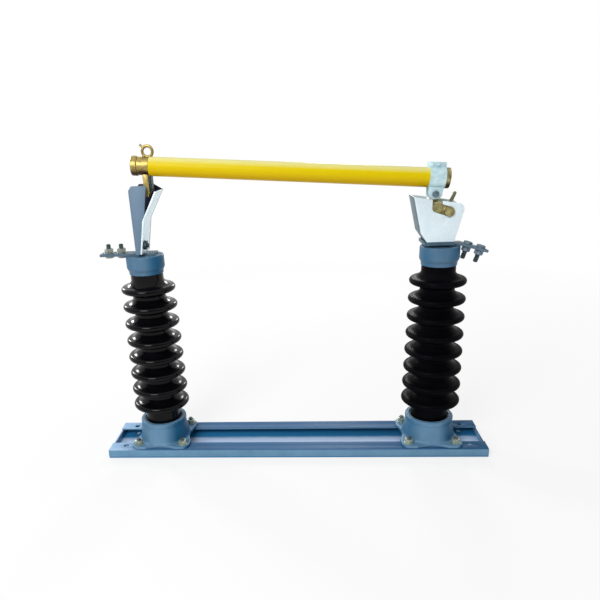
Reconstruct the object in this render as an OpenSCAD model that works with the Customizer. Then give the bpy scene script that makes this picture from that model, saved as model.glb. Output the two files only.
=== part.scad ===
// Twin-post drop-out fuse: two porcelain post insulators on a lipped base channel, with a
// fuse tube that bridges their caps and swings on a trunnion at the hinge post.
// Origin: centre of the base underside. +X towards the hinge post, +Y to the back, +Z up.

/* [Base] */
// Length of the base channel
base_length = 1000; // [960:10:1200]
// Depth of the base channel, front to back
base_depth = 164; // [156:1:190]
// Height of the base channel
base_height = 25; // [24:1:60]
// Thickness of the sheet that the base is bent from
base_sheet = 4; // [3:0.5:5]
// Inside radius of the bends in the base
base_bend = 2; // [1:0.5:3]
// Width of each inward lip
lip_width = 42; // [40:1:50]
// Distance of the fixing holes from the ends
fixing_inset = 42; // [30:1:60]
// Distance of the fixing holes from the front and back faces
fixing_edge = 26; // [20:1:30]
// Diameter of the fixing holes
fixing_hole_d = 14; // [10:0.5:16]

/* [Foot castings] */
// Distance of each post from the middle
post_x = 360; // [330:5:380]
// Side of the square foot flange
foot_side = 156; // [150:1:160]
// Corner radius of the foot flange
foot_corner_r = 20; // [10:1:28]
// Depth of the hollows in the sides of the foot flange
foot_hollow = 9; // [4:1:9]
// Thickness of the foot flange
foot_flange = 8; // [6:1:14]
// Spacing of the foot bolts, both ways
foot_bolt_pitch = 120; // [112:1:120]
// Height of the foot casting
foot_height = 64; // [60:1:80]
// Outside diameter of the cup at its rim
cup_d = 123; // [118:1:130]
// Depth of the socket in the cup
cup_depth = 44; // [36:1:48]

/* [Porcelain] */
// Number of sheds
shed_count = 8; // [5:1:9]
// Distance between sheds
shed_pitch = 45.2; // [42:0.2:52]
// Diameter of the top shed
shed_top_d = 136; // [120:1:150]
// Diameter of the bottom shed
shed_bottom_d = 148; // [130:1:160]
// Diameter of the core under the cap
core_top_d = 81; // [76:1:83]
// Diameter of the core at the foot
core_bottom_d = 94; // [86:1:100]
// Radius of the rounded shed rim
rim_r = 8; // [5:0.5:10]
// Height of the neck between the foot and the bottom shed
foot_neck = 46; // [36:1:56]
// Height of the neck between the top shed and the cap
cap_neck = 38.6; // [32:0.2:50]

/* [Caps] */
// Diameter of the cap
cap_d = 94; // [90:1:110]
// Height of the cap
cap_height = 46; // [42:1:60]
// Diameter of the narrow lower band of the cap
cap_band_d = 85; // [84:1:90]
// Height of the narrow lower band
cap_band = 8; // [5:1:14]
// Thickness of the top of the cap
cap_top = 13; // [10:1:18]
// Thickness of the cement around the ends of the porcelain
cement_gap = 3; // [2:0.5:4]

/* [Terminals] */
// Width of the terminal bars
bar_width = 38; // [32:1:44]
// Thickness of the terminal bars
bar_thick = 6; // [4:0.5:8]
// Angle at which the hinge side bar is bent down
bar_droop = 17; // [0:1:22]
// Distance of the outer terminal bolt from the end of the bar
bar_end_gap = 19; // [16:1:24]
// Distance between the two terminal bolts
bar_bolt_gap = 32; // [27:1:36]

/* [Brackets] */
// Distance over the outside of the side plates
bracket_width = 72; // [66:1:80]
// Thickness of the bracket plates
plate = 4; // [3:0.5:5]
// Width of the contact side plates at the top
jaw_top_w = 43; // [36:1:46]
// Width of the contact side plates at the foot
jaw_foot_w = 15; // [14:1:20]
// Height of the contact side plates
jaw_height = 160; // [140:1:164]
// Height at which the contact web bends further in
web_bend_rise = 80; // [70:1:90]
// Thickness of the base plate under the hinge
hinge_base_h = 8; // [5:1:10]
// Height of the hinge side plates at their inner edge
hinge_height = 103; // [98:1:112]

/* [Fuse tube] */
// Diameter of the fuse tube
tube_d = 44; // [38:1:48]
// Wall of the fuse tube
tube_wall = 7; // [4:0.5:9]
// Angle at which the fuse tube slopes down to the hinge
tube_tilt = 4.45; // [2:0.05:6]
// Diameter of the ferrule at the contact end
ferrule_d = 41; // [36:1:43]
// Length of the ferrule at the contact end
ferrule_l = 28; // [22:1:36]
// Diameter of the end cap
end_cap_d = 45; // [42:1:52]
// Length of the end cap
end_cap_l = 14; // [10:1:20]
// Height of the pull ring above the tube axis
ring_rise = 33; // [30:1:40]
// Mean radius of the pull ring
ring_r = 12; // [10:0.5:14]
// Diameter of the pull ring wire
ring_wire = 7; // [5:0.5:8]

/* [Hinge] */
// Height of the trunnion axis above the cap
trunnion_rise = 82.5; // [78:0.5:88]
// Distance of the trunnion axis outward from the post axis
trunnion_out = 8; // [4:1:12]
// Diameter of the trunnion
trunnion_d = 22; // [18:0.5:23]
// Distance of the toggle bolt inward from the trunnion axis
toggle_in = 29.5; // [26:0.5:34]
// Height of the toggle bolt above the trunnion axis
toggle_up = 38; // [36:0.5:42]
// Height of the tube axis above the toggle bolt
toggle_drop = 35; // [34:0.5:38]
// Length of the clamp collar
collar_l = 36; // [30:1:44]
// Thickness of the clamp collar
collar_wall = 4; // [3:0.5:5]
// Diameter of the toggle bolt
toggle_d = 8; // [6:0.5:9]

/* [Fasteners] */
// Thread diameter of the foot and terminal bolts
bolt_d = 12; // [10:0.5:12]
// Thread diameter of the screws that hold the brackets on the caps
screw_d = 8; // [6:1:8]
// Clearance between a bolt and its hole, on radius
bolt_gap = 0.5; // [0.3:0.1:0.8]
// Running clearance of pins, on radius
run_gap = 0.05; // [0.02:0.01:0.1]

/* [Hidden] */

fine = 64;
mid = 32;
bend_facets = 12;

paint = [0.33, 0.48, 0.62];
zinc = [0.80, 0.88, 0.90];
glaze = [0.09, 0.06, 0.09];
cement = [0.72, 0.71, 0.68];
brass = [0.72, 0.62, 0.28];
steel_dark = [0.22, 0.26, 0.30];
tube_yellow = [0.93, 0.82, 0.08];

// Fastener proportions
nut_af = 1.55 * bolt_d;
nut_h = 0.8 * bolt_d;
washer_d = 2 * bolt_d;
washer_h = 2;
screw_af = 1.55 * screw_d;
screw_head = 0.7 * screw_d;
screw_depth = 9;

// Levels
foot_z = base_height;
cup_z = foot_z + foot_height;
shed_bottom_z = cup_z + foot_neck;
shed_top_z = shed_bottom_z + (shed_count - 1) * shed_pitch;
cap_z = shed_top_z + cap_neck;
cap_top_z = cap_z + cap_height;
bracket_z = cap_top_z + bar_thick;

// Porcelain ends
socket_z = cup_z - cup_depth;
foot_socket_r = core_bottom_d / 2 + cement_gap;
foot_flare_r = foot_bolt_pitch / sqrt(2) - washer_d / 2 - 3;
band_r = cap_band_d / 2;
cap_socket_r = band_r - 3.5;
spigot_r = cap_socket_r - cement_gap;
socket_top_z = cap_top_z - cap_top;

// Hinge and tube axes, in the X-Z plane
trunnion = [post_x + trunnion_out, cap_top_z + trunnion_rise];
toggle = [trunnion[0] - toggle_in, trunnion[1] + toggle_up];
collar_c = [toggle[0] + toggle_drop * sin(tube_tilt), toggle[1] + toggle_drop * cos(tube_tilt)];
tube_r = tube_d / 2;
collar_r = tube_r + collar_wall;
lower_ferrule_l = 9;
tongue_x = -post_x + 27;
tongue_left = 7;
tongue_y = 10;
tongue_s = (tongue_x - collar_c[0]) / cos(tube_tilt);
tube_left = tongue_s + ferrule_l / 2 - 3;
tube_right = collar_l / 2 + 2;
tongue_axis_z = collar_c[1] - tongue_s * sin(tube_tilt);
tongue_tip_z = tongue_axis_z - ferrule_d / 2 - 49;

// Contact bracket, in the X-Z plane
side_y = bracket_width / 2;
inner_y = side_y - plate;
jaw_outer_x = -post_x - 11;
jaw_top_z = bracket_z + jaw_height;
jaw_top = [jaw_outer_x + jaw_top_w, jaw_top_z];
web_foot = [jaw_outer_x + jaw_foot_w, bracket_z];
web_lean = atan2(jaw_top[0] - web_foot[0], jaw_height);
web_run = [sin(web_lean), cos(web_lean)];
web_bend = web_foot + web_bend_rise * [tan(web_lean), 1];
web_top = jaw_top + [23, -14];
web_line = [web_foot, web_bend, web_top];
web_bolt = web_foot + 22 * web_run;
web_bolt_y = -22;
web_bolt_d = 10;
web_bolt_af = 20;
web_bolt_head = 8;
web_bolt_tip = 13;
spring = 2;
spring_y = 14;
spring_low = 10;
spring_rise = 42;
spring_lip_drop = 8;
spring_rest = 6;

// Hinge bracket, in the X-Z plane
hinge_z = bracket_z + hinge_base_h;
hinge_foot = [post_x - 39, hinge_z];
hinge_knee = [post_x - 54, hinge_z + 21];
hinge_top = [post_x - 73, hinge_z + hinge_height];
hinge_outer_x = post_x + 24;
hinge_base_x = post_x - 44;
hinge_corner = [post_x + 26, hinge_z + hinge_height - 31];
hinge_corner_r = 15;
hinge_corner_from = -13;
hinge_corner_to = 80;
slot_r = trunnion_d / 2 + run_gap;
slot_knee = trunnion + [-28, 9.5];

// Link: a wide arm between the side plates, a narrow one between the lugs of the collar
link_r = 12.5;
link_wide_y = inner_y - 5;
link_y = 10;
lobe_r = 8.5;
lug = 5;
lug_y = link_y + 1;
lug_r = 11.5;
ear_bolt_r = 2;
ear_bolt_z = tube_r + 7.5;

// Terminals, as offsets from the post axis
rim_gap = 0.7;
bar_inner = 30;
bar_knee = cap_d / 2 + 1;
bar_bolt_x = cap_d / 2 + nut_af / 2 + rim_gap;
bar_reach = bar_bolt_x + bar_bolt_gap + bar_end_gap;
bar_bolt_tip = 22;
bar_head_h = 6;
droop_bolt_tip = 30;
droop_bolt_x = max(droop_bolt_tip * tan(bar_droop) + bolt_d / 2 / cos(bar_droop), washer_d / 2 + rim_gap);
droop_length = droop_bolt_x + bar_bolt_gap + bar_end_gap - 4;
contact_screw_x = -9;
contact_screw_y = 9;
hinge_screw_x = [-17, 15];

module at_post(side) { translate([side * post_x, 0, 0]) children(); }

// Puts a shape drawn in the X-Z plane into a plate from y0 to y0 + thick
module plate_xz(y0, thick) {
    translate([0, y0 + thick, 0]) rotate([90, 0, 0]) linear_extrude(thick) children();
}

// Frame of the fuse tube: local X runs down the axis, from the middle of the collar
module tube_frame() {
    translate([collar_c[0], 0, collar_c[1]]) rotate([0, tube_tilt, 0]) children();
}

// Cylinder along local X from x0 to x1
module barrel(x0, x1, r) {
    translate([x0, 0, 0]) rotate([0, 90, 0]) cylinder(h = x1 - x0, r = r, $fn = fine);
}

// Cylinder along Y, centred on the plane y = 0
module cross_pin(r, length) {
    rotate([90, 0, 0]) cylinder(h = length, r = r, center = true, $fn = fine);
}

// Hexagon with flats facing along X
module hexagon_prism(af, h) { rotate(30) cylinder(h = h, r = af / 2 / cos(30), $fn = 6); }

// Points along an arc, in equal steps
function arc(c, r, from, to, steps = 12) =
    [for (i = [0 : steps]) let (a = from + (to - from) * i / steps) c + r * [cos(a), sin(a)]];

// Outline of a band of half width r with round ends, from a to b
function band(a, b, r) =
    let (turn = atan2(b[1] - a[1], b[0] - a[0]))
    concat(arc(a, r, turn + 90, turn + 270), arc(b, r, turn - 90, turn + 90));

// Outline of a hook: down from the height top over its knee k, round k, and out to a round end at t
function hook(k, t, r, top) =
    let (turn = atan2(t[1] - k[1], t[0] - k[0]),
        inner = k + r * [cos(turn + 90), sin(turn + 90)]
            + r * (1 + sin(turn)) / cos(turn) * [cos(turn), sin(turn)])
    concat([[k[0] + r, top], [k[0] - r, top]], arc(k, r, 180, 270 + turn, fine),
        arc(t, r, turn - 90, turn + 90, fine), [inner]);

// Rectangle about the origin, with corners rounded in facets of a full circle
module rounded_rect(size, r, facets = fine) {
    square([size[0], size[1] - 2 * r], center = true);
    square([size[0] - 2 * r, size[1]], center = true);
    for (sx = [-1, 1], sy = [-1, 1])
        translate([sx * (size[0] / 2 - r), sy * (size[1] / 2 - r)]) circle(r, $fn = facets);
}

// Bolt with its head under the joint and a washer and nut over it
module through_bolt(grip, tip, head_h = nut_h) {
    translate([0, 0, -grip - head_h]) hexagon_prism(nut_af, head_h);
    translate([0, 0, -grip]) cylinder(h = grip + tip, d = bolt_d, $fn = mid);
    cylinder(h = washer_h, d = washer_d, $fn = mid);
    translate([0, 0, washer_h]) hexagon_prism(nut_af, nut_h);
}

// ---- Base ----

// Section of the channel in the Y-Z plane, about its middle
module channel_section() {
    inside = [base_depth - 2 * base_sheet, base_height - 2 * base_sheet];
    difference() {
        rounded_rect([base_depth, base_height], base_bend + base_sheet, bend_facets);
        rounded_rect(inside, base_bend, bend_facets);
        translate([-base_depth / 2 + lip_width, 0]) square([base_depth - 2 * lip_width, base_height]);
    }
}

module base_channel() {
    color(paint) difference() {
        translate([-base_length / 2, 0, base_height / 2]) rotate([90, 0, 90])
            linear_extrude(base_length) channel_section();
        for (sx = [-1, 1], sy = [-1, 1])
            translate([sx * (base_length / 2 - fixing_inset), sy * (base_depth / 2 - fixing_edge), -1])
                cylinder(h = base_height + 2, d = fixing_hole_d, $fn = mid);
        for (side = [-1, 1]) at_post(side) foot_bolt_places()
            translate([0, 0, base_height / 2])
                cylinder(h = base_height, r = bolt_d / 2 + bolt_gap, $fn = mid);
    }
}

// Plate that closes one end of the channel, between its web and its lips
module end_plate(side) {
    x = side * (base_length / 2 - base_sheet / 2);
    color(paint) translate([x, 0, base_height / 2]) rotate([90, 0, 90])
        linear_extrude(base_sheet, center = true)
            rounded_rect([base_depth - 2 * base_sheet, base_height - 2 * base_sheet], base_bend, bend_facets);
}

module end_plate_left() { end_plate(-1); }
module end_plate_right() { end_plate(1); }

// ---- Posts ----

module foot_bolt_places() {
    for (sx = [-1, 1], sy = [-1, 1])
        translate([sx * foot_bolt_pitch / 2, sy * foot_bolt_pitch / 2, 0]) children();
}

// Square flange with four rounded lugs and hollow sides between them
module foot_flange_2d() {
    hollow_r = 90;
    difference() {
        rounded_rect([foot_side, foot_side], foot_corner_r);
        for (turn = [0 : 90 : 270]) rotate(turn)
            translate([foot_side / 2 - foot_hollow + hollow_r, 0]) circle(hollow_r, $fn = 96);
    }
}

module foot(side) {
    r = cup_d / 2;
    color(paint) at_post(side) difference() {
        union() {
            translate([0, 0, foot_z]) linear_extrude(foot_flange) foot_flange_2d();
            rotate_extrude($fn = fine) polygon([
                [0, foot_z + foot_flange], [foot_flare_r, foot_z + foot_flange],
                [foot_flare_r - 3, foot_z + foot_flange + 5], [r - 1.5, cup_z - 13],
                [r, cup_z - 10], [r, cup_z - 2], [r - 2, cup_z], [0, cup_z]]);
        }
        translate([0, 0, socket_z]) cylinder(h = cup_depth + 1, r = foot_socket_r, $fn = fine);
        foot_bolt_places() translate([0, 0, foot_z - 1])
            cylinder(h = foot_height, r = bolt_d / 2 + bolt_gap, $fn = mid);
    }
}

module foot_left() { foot(-1); }
module foot_right() { foot(1); }

module foot_bolts(side) {
    color(zinc) at_post(side) foot_bolt_places()
        translate([0, 0, foot_z + foot_flange]) through_bolt(foot_flange + base_sheet, 17);
}

module foot_bolts_left() { foot_bolts(-1); }
module foot_bolts_right() { foot_bolts(1); }

function mix(a, b, t) = a + (b - a) * t;
function core_r(z) = mix(core_bottom_d, core_top_d, (z - cup_z) / (cap_z - cup_z)) / 2;
function shed_r(i) = mix(shed_bottom_d, shed_top_d, i / (shed_count - 1)) / 2;

// Outline of shed i, from its underside at the core, round the rim, to its top at the core
function shed_outline(i) =
    let (z = shed_bottom_z + i * shed_pitch,
        rim_c = shed_r(i) - rim_r,
        under = 9, over = 13,
        low = core_r(z - rim_r - under), high = core_r(z + rim_r + over))
    concat(
        [for (t = [0 : 0.25 : 0.75]) [mix(low, rim_c, t), z - rim_r - under * pow(1 - t, 2.5)]],
        [for (a = [-90 : 22.5 : 90]) [rim_c + rim_r * cos(a), z + rim_r * sin(a)]],
        [for (t = [0.75 : -0.25 : 0]) [mix(high, rim_c, t), z + rim_r + over * pow(1 - t, 2)]]);

module insulator(side) {
    sheds = [for (i = [0 : shed_count - 1]) each shed_outline(i)];
    bottom_z = socket_z + cement_gap;
    top_z = socket_top_z - cement_gap;
    color(glaze) at_post(side) rotate_extrude($fn = fine) polygon(concat(
        [[0, bottom_z], [core_bottom_d / 2, bottom_z]], sheds,
        [[core_r(cap_z), cap_z], [spigot_r, cap_z], [spigot_r, top_z], [0, top_z]]));
}

module insulator_left() { insulator(-1); }
module insulator_right() { insulator(1); }

// Cement that fills the two sockets of a post
module cement_rings(side) {
    bottom_z = socket_z + cement_gap;
    top_z = socket_top_z - cement_gap;
    color(cement) at_post(side) {
        difference() {
            translate([0, 0, socket_z]) cylinder(h = cup_depth - 3, r = foot_socket_r, $fn = fine);
            translate([0, 0, bottom_z]) cylinder(h = cup_depth, r = core_bottom_d / 2, $fn = fine);
        }
        difference() {
            translate([0, 0, cap_z]) cylinder(h = socket_top_z - cap_z, r = cap_socket_r, $fn = fine);
            translate([0, 0, cap_z - 1]) cylinder(h = top_z - cap_z + 1, r = spigot_r, $fn = fine);
        }
    }
}

module cement_left() { cement_rings(-1); }
module cement_right() { cement_rings(1); }

// Cap, with blind holes for the bracket screws at the given offsets from its axis
module cap(side, screw_places) {
    r = cap_d / 2;
    color(paint) at_post(side) difference() {
        rotate_extrude($fn = fine) polygon([
            [0, cap_z], [band_r, cap_z], [band_r, cap_z + cap_band], [r, cap_z + cap_band + 7],
            [r, cap_top_z - 2], [r - 2, cap_top_z], [0, cap_top_z]]);
        translate([0, 0, cap_z - 1])
            cylinder(h = socket_top_z - cap_z + 1, r = cap_socket_r, $fn = fine);
        for (p = screw_places) translate([p[0], p[1], cap_top_z - screw_depth])
            cylinder(h = screw_depth + 1, r = screw_d / 2 + bolt_gap, $fn = mid);
    }
}

contact_places = [for (sy = [-1, 1]) [contact_screw_x, sy * contact_screw_y]];
hinge_places = [for (x = hinge_screw_x) [x, 0]];

module cap_left() { cap(-1, contact_places); }
module cap_right() { cap(1, hinge_places); }

// ---- Terminals ----

function terminal_places(first) = [first, first + bar_bolt_gap];

// Holes of radius r through a plate whose underside is at z = 0
module plate_holes(places, r) {
    deep = max(bar_thick, hinge_base_h) + 2;
    for (p = places) translate([p[0], p[1], -1]) cylinder(h = deep, r = r, $fn = mid);
}

module terminal_left() {
    color(paint) translate([-post_x, 0, cap_top_z]) difference() {
        translate([-bar_reach, -bar_width / 2, 0]) cube([bar_reach + bar_inner, bar_width, bar_thick]);
        plate_holes([for (x = terminal_places(bar_bolt_x)) [-x, 0]], bolt_d / 2 + bolt_gap);
        plate_holes(contact_places, screw_d / 2 + bolt_gap);
    }
}

// Frame of the bent part of the hinge side bar, from its knee at the cap's rim
module droop_frame() {
    translate([post_x + bar_knee, 0, cap_top_z]) rotate([0, bar_droop, 0]) children();
}

module terminal_right() {
    top = bar_thick * tan(bar_droop / 2);
    drop = droop_length * [cos(bar_droop), -sin(bar_droop)];
    color(paint) difference() {
        translate([post_x, 0, cap_top_z]) plate_xz(-bar_width / 2, bar_width) polygon([
            [-bar_inner, 0], [bar_knee, 0], [bar_knee, 0] + drop,
            [bar_knee, 0] + drop + bar_thick * [sin(bar_droop), cos(bar_droop)],
            [bar_knee + top, bar_thick], [-bar_inner, bar_thick]]);
        droop_frame()
            plate_holes([for (x = terminal_places(droop_bolt_x)) [x, 0]], bolt_d / 2 + bolt_gap);
        translate([post_x, 0, cap_top_z]) plate_holes(hinge_places, screw_d / 2 + bolt_gap);
    }
}

module terminal_bolts_left() {
    color(steel_dark) translate([-post_x, 0, cap_top_z + bar_thick])
        for (x = terminal_places(bar_bolt_x)) translate([-x, 0, 0])
            through_bolt(bar_thick, bar_bolt_tip, bar_head_h);
}

module terminal_bolts_right() {
    color(steel_dark) droop_frame()
        for (x = terminal_places(droop_bolt_x)) translate([x, 0, 0]) rotate([180, 0, 0])
            through_bolt(bar_thick, droop_bolt_tip, bar_head_h);
}

// ---- Contact at the top end ----

// Side plate of the contact bracket, up to a chamfered corner at its outer edge
module jaw_side_2d(inner_edge) {
    polygon(concat([[jaw_outer_x, bracket_z], [jaw_outer_x, jaw_top_z - 10], [jaw_outer_x + 8, jaw_top_z],
        jaw_top], inner_edge));
}

// Bent strip of the given thickness along +X from its outline
module bent_strip_2d(outline, thick) {
    last = len(outline) - 1;
    polygon(concat(outline, [for (i = [last : -1 : 0]) outline[i] + [thick, 0]]));
}

// Frame on the outer face of the web, at the contact bolt, with +Z away from the web
module web_frame() {
    translate([web_bolt[0], web_bolt_y, web_bolt[1]]) rotate([0, 90 + web_lean, 0]) children();
}

// Space that the web fills, from the front of the bracket to the back side plate
module web_space() { plate_xz(-side_y, side_y + inner_y) bent_strip_2d(web_line, -plate); }

module contact_bracket() {
    tab = 10;
    color(paint) difference() {
        union() {
            plate_xz(-side_y, plate) jaw_side_2d([web_foot]);
            plate_xz(inner_y, plate) jaw_side_2d([web_top, web_bend, web_foot]);
            translate([jaw_outer_x, -side_y, bracket_z]) cube([jaw_foot_w, bracket_width, plate]);
            translate([jaw_outer_x - tab, -bar_width / 2, bracket_z])
                cube([jaw_foot_w + tab, bar_width, plate]);
        }
        web_space();
        translate([-post_x, 0, bracket_z]) plate_holes(contact_places, screw_d / 2 + bolt_gap);
    }
}

module web_bolt_hole() {
    web_frame() translate([0, 0, -web_bolt_tip])
        cylinder(h = 2 * web_bolt_tip, r = web_bolt_d / 2 + bolt_gap, $fn = mid);
}

// Web between the side plates, which bends further in above the bend
module contact_web() {
    color(zinc) difference() {
        web_space();
        web_bolt_hole();
    }
}

// Leaf held against the inside of the web by the contact bolt, with a wide foot under the bolt
module contact_spring() {
    low = web_foot + spring_low * web_run - [plate, 0];
    high = web_foot + spring_rise * web_run - [plate, 0];
    foot_y = web_bolt_y - web_bolt_d / 2 - 3;
    lip_x = tongue_x - tongue_left - spring_rest;
    lip_z = jaw_top_z - spring_lip_drop;
    color(brass) difference() {
        union() {
            plate_xz(-spring_y, 2 * spring_y) bent_strip_2d([low, high,
                [lip_x, tongue_tip_z - 8], [lip_x, lip_z - 6], [lip_x - 4, lip_z]], -spring);
            plate_xz(foot_y, spring_y - foot_y) bent_strip_2d([low, high], -spring);
        }
        web_bolt_hole();
    }
}

module contact_bolt() {
    grip = (plate + spring) * cos(web_lean);
    color(steel_dark) web_frame() {
        hexagon_prism(web_bolt_af, web_bolt_head);
        translate([0, 0, -grip]) cylinder(h = grip + web_bolt_tip, d = web_bolt_d, $fn = mid);
        translate([0, 0, -grip - 6]) hexagon_prism(0.8 * web_bolt_af, 6);
    }
}

// Screws that hold a bracket and its terminal bar on a cap, with their heads on a foot at height z
module bracket_screws(places, z) {
    deep = z - cap_top_z + screw_depth - 1;
    for (p = places) translate([p[0], p[1], z]) {
        hexagon_prism(screw_af, screw_head);
        translate([0, 0, -deep]) cylinder(h = deep, d = screw_d, $fn = mid);
    }
}

module contact_screws() { color(zinc) at_post(-1) bracket_screws(contact_places, bracket_z + plate); }

// ---- Hinge ----

// Plate between the terminal bar and the hinge bracket
module hinge_base() {
    color(paint) difference() {
        translate([hinge_base_x, -side_y, bracket_z])
            cube([hinge_outer_x - hinge_base_x, bracket_width, hinge_base_h]);
        translate([post_x, 0, bracket_z]) plate_holes(hinge_places, screw_d / 2 + bolt_gap);
    }
}

// Side plate of the hinge bracket, with the hook slot that the trunnion lies in
module hinge_side_2d() {
    difference() {
        polygon(concat([hinge_foot, [hinge_outer_x, hinge_z]], arc(hinge_corner, hinge_corner_r, hinge_corner_from, hinge_corner_to),
            [hinge_top, hinge_knee]));
        polygon(hook(slot_knee, trunnion, slot_r, hinge_top[1] + 1));
    }
}

module hinge_bracket() {
    color(zinc) difference() {
        union() {
            for (y = [-side_y, inner_y]) plate_xz(y, plate) hinge_side_2d();
            plate_xz(-side_y, bracket_width) bent_strip_2d([hinge_foot, hinge_knee, hinge_top], plate);
            translate([hinge_foot[0], -side_y, hinge_z])
                cube([hinge_outer_x - hinge_foot[0], bracket_width, plate]);
        }
        translate([post_x, 0, hinge_z]) plate_holes(hinge_places, screw_d / 2 + bolt_gap);
    }
}

module hinge_screws() { color(zinc) at_post(1) bracket_screws(hinge_places, hinge_z + plate); }

// Cross barrel that turns in the hook slots, with an arm up to the toggle bolt
module trunnion_link() {
    color(brass) difference() {
        union() {
            translate([trunnion[0], 0, trunnion[1]]) cross_pin(trunnion_d / 2, bracket_width + 10);
            plate_xz(-link_wide_y, 2 * link_wide_y) polygon(band(slot_knee, trunnion, link_r));
            plate_xz(-link_y, 2 * link_y) polygon(concat(
                arc(toggle, lobe_r, -15, 195), [slot_knee - [9, 0], slot_knee + [9, 0]]));
        }
        translate([toggle[0], 0, toggle[1]]) cross_pin(toggle_d / 2 + run_gap, 4 * link_y);
    }
}

// Horn that stands up from the link beside the tube
module link_horn() {
    color(steel_dark) plate_xz(-3, 6) polygon(concat(
        [trunnion + [2, link_r], trunnion + [11, link_r]], arc(trunnion + [17, 37], 4, -20, 200)));
}

// ---- Fuse tube ----

module fuse_tube() {
    color(tube_yellow) tube_frame() difference() {
        barrel(tube_left, tube_right, tube_r);
        barrel(tube_left - 1, tube_right + 1, tube_r - tube_wall);
    }
}

// Space that the ferrule and the upper part of the tube fill, in the frame of the tube
module tube_space() {
    barrel(tube_left - ferrule_l, tube_left, ferrule_d / 2);
    barrel(tube_left, tube_left + 40, tube_r);
}

module top_ferrule() {
    color(brass) tube_frame() difference() {
        barrel(tube_left - ferrule_l, tube_left, ferrule_d / 2);
        barrel(tube_left - ferrule_l - 1, tube_left + 1, tube_r - tube_wall);
    }
}

module end_cap() {
    color(brass) tube_frame() barrel(tube_left - ferrule_l - end_cap_l, tube_left - ferrule_l, end_cap_d / 2);
}

module pull_ring() {
    color(brass) tube_frame() difference() {
        translate([tongue_s + 6, 0, 0]) {
            translate([0, 0, ring_rise]) rotate([90, 0, 0])
                rotate_extrude($fn = fine) translate([ring_r, 0]) circle(ring_wire / 2, $fn = 24);
            for (sx = [-1, 1]) translate([sx * 9, 0, 15]) cylinder(h = 12, d = ring_wire, $fn = 24);
            translate([0, 0, ring_rise]) rotate([0, -51, 0]) translate([0, 0, ring_r])
                cylinder(h = 11, d = 5, $fn = 24);
        }
        tube_space();
    }
}

// Tongue under the contact ferrule, which hangs in the jaw of the contact bracket
module contact_tongue() {
    color(brass) difference() {
        plate_xz(-tongue_y, 2 * tongue_y) polygon([
            [tongue_x - tongue_left, tongue_axis_z], [tongue_x + 6, tongue_axis_z],
            [tongue_x + 6, tongue_tip_z + 12], [tongue_x + 2, tongue_tip_z],
            [tongue_x - 4, tongue_tip_z], [tongue_x - tongue_left, tongue_tip_z + 12]]);
        tube_frame() barrel(tube_left - ferrule_l, tube_left, ferrule_d / 2);
    }
}

module tongue_stay() {
    color(steel_dark) difference() {
        translate([tongue_x + 6, -tongue_y, tongue_tip_z + 12])
            cube([7, 2 * tongue_y, tongue_axis_z - tongue_tip_z - 12]);
        tube_frame() tube_space();
    }
}

module tube_collar() {
    h = collar_l / 2;
    color(zinc) tube_frame() difference() {
        union() {
            barrel(-h, h, collar_r);
            for (y = [-8, 3]) translate([-h - 4, y, 0]) cube([collar_l + 4, 5, tube_r + 12]);
            for (y = [-lug_y - lug, lug_y]) plate_xz(y, lug) polygon(concat(
                arc([-4, -toggle_drop], lug_r, 180, 270), arc([4, -toggle_drop], lug_r, 270, 360),
                [[18, -8], [-18, -8]]));
        }
        barrel(-h - 30, h + 30, tube_r);
        translate([-h - 1, -lug_y, -collar_r - 1]) cube([2 * h + 2, 2 * lug_y, collar_r]);
        translate([0, 0, -toggle_drop]) cross_pin(toggle_d / 2, 4 * side_y);
        translate([0, 0, ear_bolt_z]) cross_pin(ear_bolt_r + bolt_gap, 30);
    }
}

module collar_bolt() {
    color(steel_dark) tube_frame() translate([0, 0, ear_bolt_z]) {
        cross_pin(ear_bolt_r, 16);
        for (turn = [-90, 90]) rotate([turn, 0, 0]) translate([0, 0, 8]) hexagon_prism(7, 3.5);
    }
}

module toggle_bolt() {
    reach = lug_y + lug;
    color(steel_dark) tube_frame() translate([0, 0, -toggle_drop]) {
        cross_pin(toggle_d / 2, 2 * reach);
        for (turn = [-90, 90]) rotate([turn, 0, 0]) translate([0, 0, reach]) hexagon_prism(14, 6);
    }
}

module lower_ferrule() {
    color(brass) tube_frame() difference() {
        barrel(tube_right, tube_right + lower_ferrule_l, tube_r + 1);
        barrel(tube_right - 1, tube_right + lower_ferrule_l + 1, tube_r - tube_wall);
    }
}

base_channel();
end_plate_left();
end_plate_right();
foot_left();
foot_right();
foot_bolts_left();
foot_bolts_right();
cement_left();
cement_right();
insulator_left();
insulator_right();
cap_left();
cap_right();
terminal_left();
terminal_right();
terminal_bolts_left();
terminal_bolts_right();
contact_bracket();
contact_web();
contact_spring();
contact_bolt();
contact_screws();
hinge_base();
hinge_bracket();
hinge_screws();
trunnion_link();
link_horn();
fuse_tube();
top_ferrule();
end_cap();
pull_ring();
contact_tongue();
tongue_stay();
tube_collar();
collar_bolt();
toggle_bolt();
lower_ferrule();
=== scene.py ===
"""Looks for a twin-post drop-out fuse, built round its CAD frame."""

import math

import bmesh
import bpy
from bpy.props import FloatProperty, FloatVectorProperty, IntProperty, PointerProperty
from mathutils import Euler, Matrix, Vector


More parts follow.
